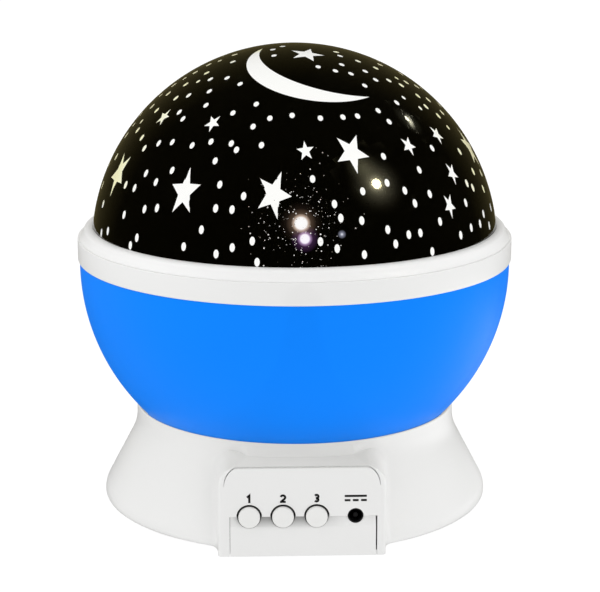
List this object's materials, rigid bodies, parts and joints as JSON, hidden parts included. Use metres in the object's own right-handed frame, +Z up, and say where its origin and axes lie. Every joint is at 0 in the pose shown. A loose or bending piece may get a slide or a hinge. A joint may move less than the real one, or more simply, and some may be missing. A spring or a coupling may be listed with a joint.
{
  "type": "star night light projector",
  "caption": "Night light with a star-printed clear dome on a coloured bowl that turns on a flared base with push buttons and a power inlet.",
  "frame": {"origin": "on the floor, on the axis of the ball, at the bottom centre of the whole object", "axes": "+Z up along the axis that the ball turns on; the control box faces -Y; +X is to the right seen from the front"},
  "size_m": [0.13, 0.13, 0.1382],
  "materials": {
    "white_shell": "gloss moulded",
    "white_button": "gloss moulded",
    "blue_bowl": "satin moulded",
    "clear_shell": "clear polished",
    "black_film": "gloss printed",
    "white_reflector": "satin moulded",
    "natural_gear": "matt moulded",
    "black_plastic": "matt moulded",
    "foot_rubber": "matt",
    "zinc_screw": "zinc plated",
    "spring_steel": "nickel plated",
    "motor_steel": "drawn and zinc plated",
    "board_green": "solder mask",
    "board_white": "white solder mask",
    "lamp_resin": "clear resin",
    "cell_jacket": "gloss sleeve",
    "lead_jacket": "satin"
  },
  "bodies": {
    "base": {"base_shell": "white_shell", "bottom_cover": "white_shell", "rubber_feet": "foot_rubber", "cover_screws": "zinc_screw", "battery_cells": "cell_jacket", "battery_springs": "spring_steel", "battery_contacts": "spring_steel", "control_board": "board_green", "switch_bodies": "black_plastic", "dc_jack": "black_plastic", "gearmotor": "motor_steel", "motor_screws": "zinc_screw", "lamp_post": "white_reflector", "post_screws": "zinc_screw", "thrust_washer": "black_plastic", "retaining_ring": "spring_steel", "lamp_head": "white_reflector", "led_board": "board_white", "leds": "lamp_resin", "lamp_lead": "lead_jacket", "motor_lead": "lead_jacket", "battery_lead": "lead_jacket"},
    "door": {"battery_door": "white_shell"},
    "key_1": {"button_1": "white_button", "plunger_1": "black_plastic"},
    "key_2": {"button_2": "white_button", "plunger_2": "black_plastic"},
    "key_3": {"button_3": "white_button", "plunger_3": "black_plastic"},
    "pinion": {"motor_shaft": "spring_steel", "drive_pinion": "natural_gear"},
    "ball": {"outer_bowl": "blue_bowl", "bowl_rim": "white_shell", "ball_gear": "natural_gear", "gear_screws": "zinc_screw", "reflector_plate": "white_reflector"},
    "dome": {"dome_ring": "white_shell", "clear_dome": "clear_shell", "star_film": "black_film"}
  },
  "joints": [
    {"name": "ball_spin", "type": "hinge", "parent": "base", "child": "ball", "pos_m": [0, 0, 0.03], "axis": [0, 0, 1], "continuous": true},
    {"name": "pinion_spin", "type": "hinge", "parent": "base", "child": "pinion", "pos_m": [0.014, -0.02425, 0.022], "axis": [0, 0, 1], "continuous": true},
    {"name": "dome_lift", "type": "slide", "parent": "ball", "child": "dome", "axis": [0, 0, 1], "range_m": [0, 0.06]},
    {"name": "door_swing", "type": "hinge", "parent": "base", "child": "door", "pos_m": [0, 0.0378, 0.001], "axis": [1, 0, 0], "range_deg": [0, 70]},
    {"name": "button_1_press", "type": "slide", "parent": "base", "child": "key_1", "axis": [0, 1, 0], "range_m": [0, 0.0006], "stiffness_N_per_m": 2000},
    {"name": "button_2_press", "type": "slide", "parent": "base", "child": "key_2", "axis": [0, 1, 0], "range_m": [0, 0.0006], "stiffness_N_per_m": 2000},
    {"name": "button_3_press", "type": "slide", "parent": "base", "child": "key_3", "axis": [0, 1, 0], "range_m": [0, 0.0006], "stiffness_N_per_m": 2000}
  ],
  "couplings": [
    {"joint": "pinion_spin", "follows": "ball_spin", "ratio": -4}
  ]
}
